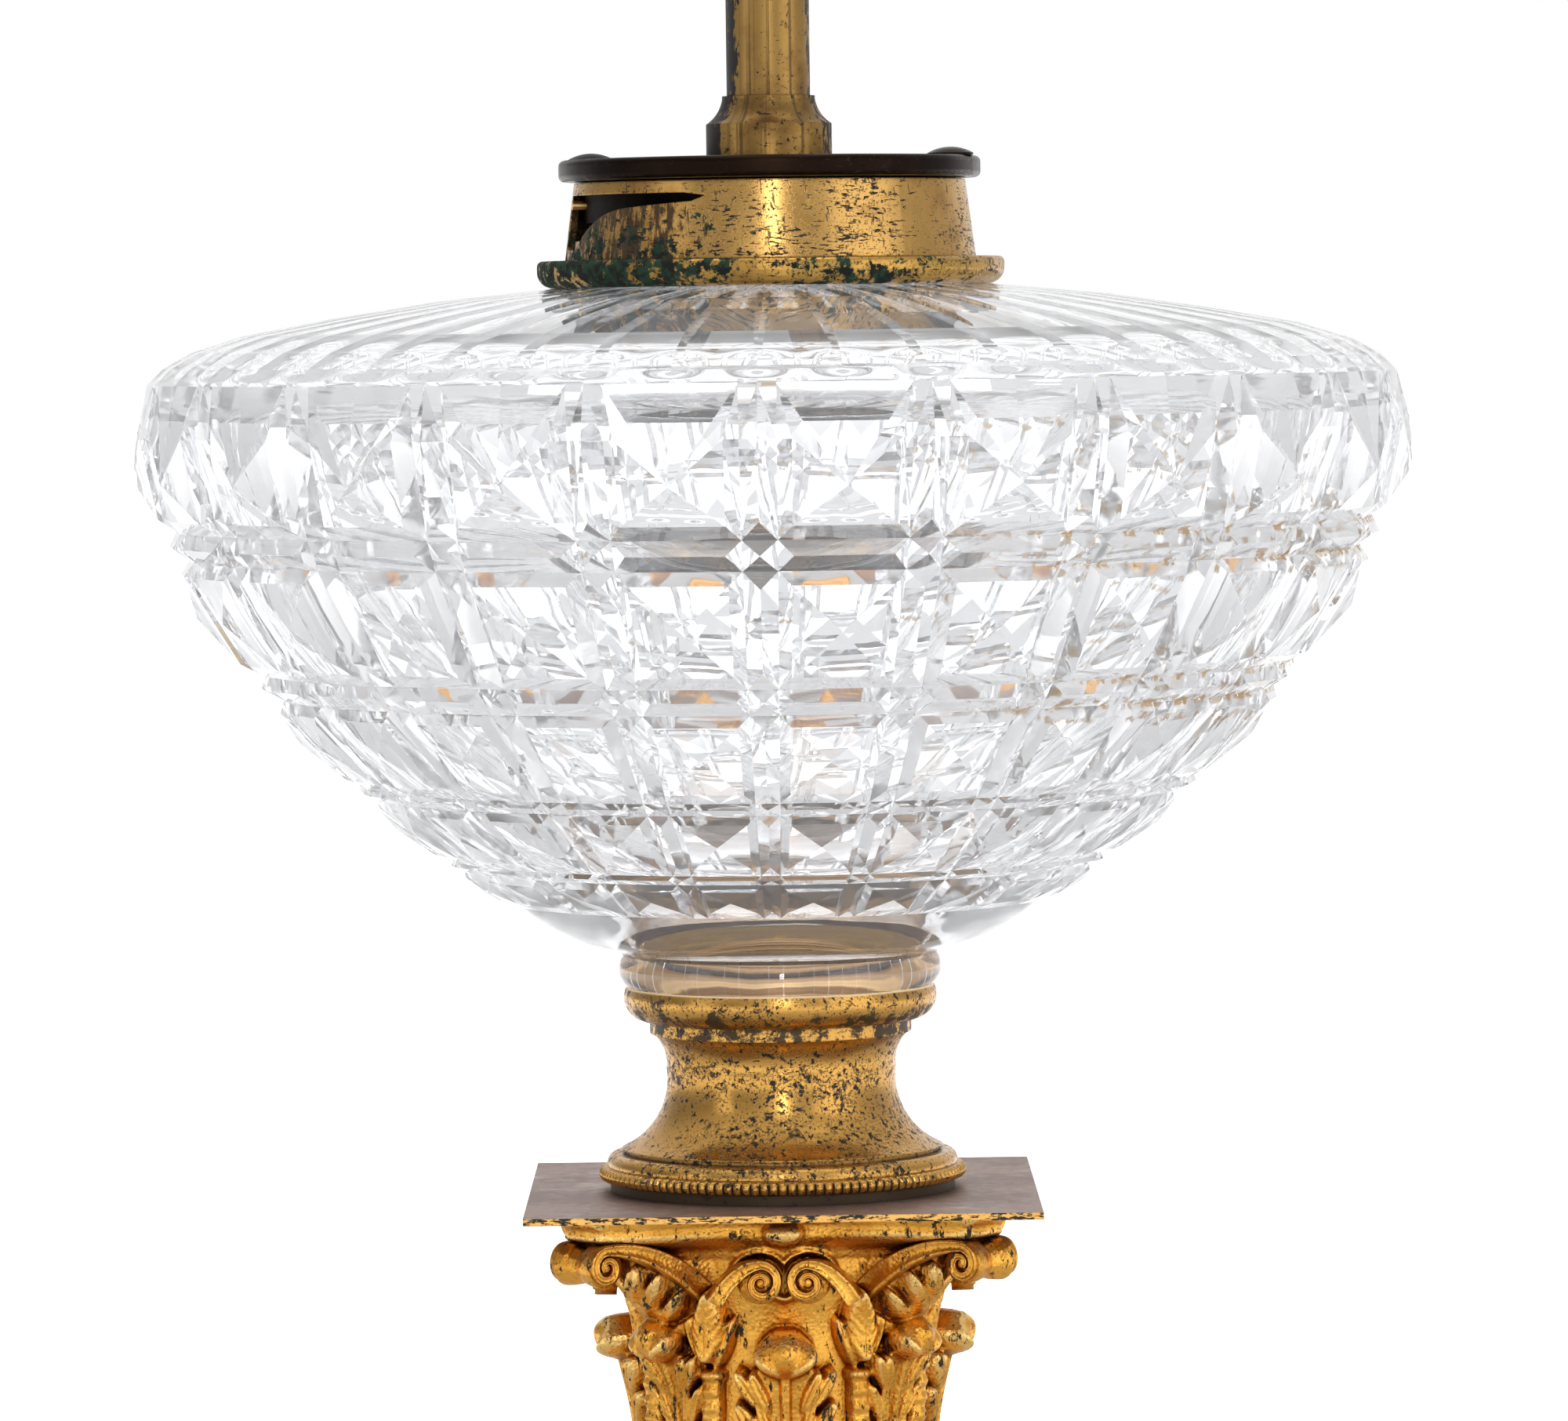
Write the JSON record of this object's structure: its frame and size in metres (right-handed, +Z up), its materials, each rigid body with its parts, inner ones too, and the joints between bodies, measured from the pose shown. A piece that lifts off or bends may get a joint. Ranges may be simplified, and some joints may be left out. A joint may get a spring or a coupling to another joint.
{
  "type": "converted fluid lamp on a column",
  "caption": "Old fluid lamp: a cut glass font on a gilt Corinthian column with a stepped base, converted with a lift-out stem and a switched lampholder.",
  "frame": {"origin": "on the table under the middle of the lamp, at the underside of the felt", "axes": "+Z up along the column, -Y towards the front of the lamp, +X to its right hand side seen from the front, where the switch key is"},
  "size_m": [0.1986, 0.1986, 0.6488],
  "materials": {
    "felt": "green felt",
    "gilt_base": "aged gilt",
    "iron_load": "rough cast",
    "steel": "dull steel",
    "gilt_column": "aged gilt",
    "gilt_capital": "aged gilt, dark in the hollows",
    "brass_plate": "tarnished",
    "brass_neck": "lacquered, aged",
    "brass_inner": "plain",
    "plaster": "plaster",
    "cut_glass": "clear cut crystal",
    "brass_flange": "worn, a little green",
    "brass_collar": "worn, streaked with dark",
    "dark_bronze": "dark patina",
    "brass_cover": "dull",
    "gasket": "black",
    "brass_stem": "satin, aged",
    "brass_holder": "satin, aged",
    "insulation_black": "black",
    "insulation_fibre": "pressed fibre",
    "insulation_core": "glazed porcelain",
    "key_brown": "dark brown"
  },
  "bodies": {
    "lamp": {"base_felt": "felt", "stepped_base": "gilt_base", "base_weight": "iron_load", "tie_rod": "steel", "rod_washer": "steel", "rod_nut": "steel", "column_base": "gilt_base", "column_shaft": "gilt_column", "capital": "gilt_capital", "abacus_plate": "brass_plate", "gadroon_rim": "brass_neck", "neck_pedestal": "brass_neck", "font_cup": "brass_inner", "foot_cement": "plaster", "font_glass": "cut_glass", "collar_flange": "brass_flange", "bayonet_collar": "brass_collar", "collar_cement": "plaster"},
    "ring": {"lock_ring": "dark_bronze", "ring_sleeve": "brass_inner", "ring_pins": "brass_inner", "ring_screws": "dark_bronze"},
    "adapter": {"cover_plate": "brass_cover", "plate_gasket": "gasket", "stem_nipple": "brass_inner", "stem_washer": "brass_inner", "stem_locknut": "brass_inner", "stem_socket": "brass_stem", "stem_tube": "brass_stem", "holder_cap": "brass_holder", "cord_bush": "insulation_black", "holder_setscrew": "steel", "holder_shell": "brass_holder", "holder_liner": "insulation_fibre", "holder_core": "insulation_core", "screw_shell": "brass_inner", "centre_contact": "brass_inner", "terminal_screws": "steel"},
    "key": {"switch_spindle": "steel", "switch_key": "key_brown"}
  },
  "joints": [
    {"name": "ring_turn", "type": "hinge", "parent": "lamp", "child": "ring", "pos_m": [0, 0, 0.5232], "axis": [0, 0, 1], "range_deg": [0, 25]},
    {"name": "stem_lift", "type": "slide", "parent": "lamp", "child": "adapter", "axis": [0, 0, 1], "range_m": [0, 0.05]},
    {"name": "key_turn", "type": "hinge", "parent": "adapter", "child": "key", "pos_m": [0.0202, 0, 0.6218], "axis": [1, 0, 0], "continuous": true}
  ]
}
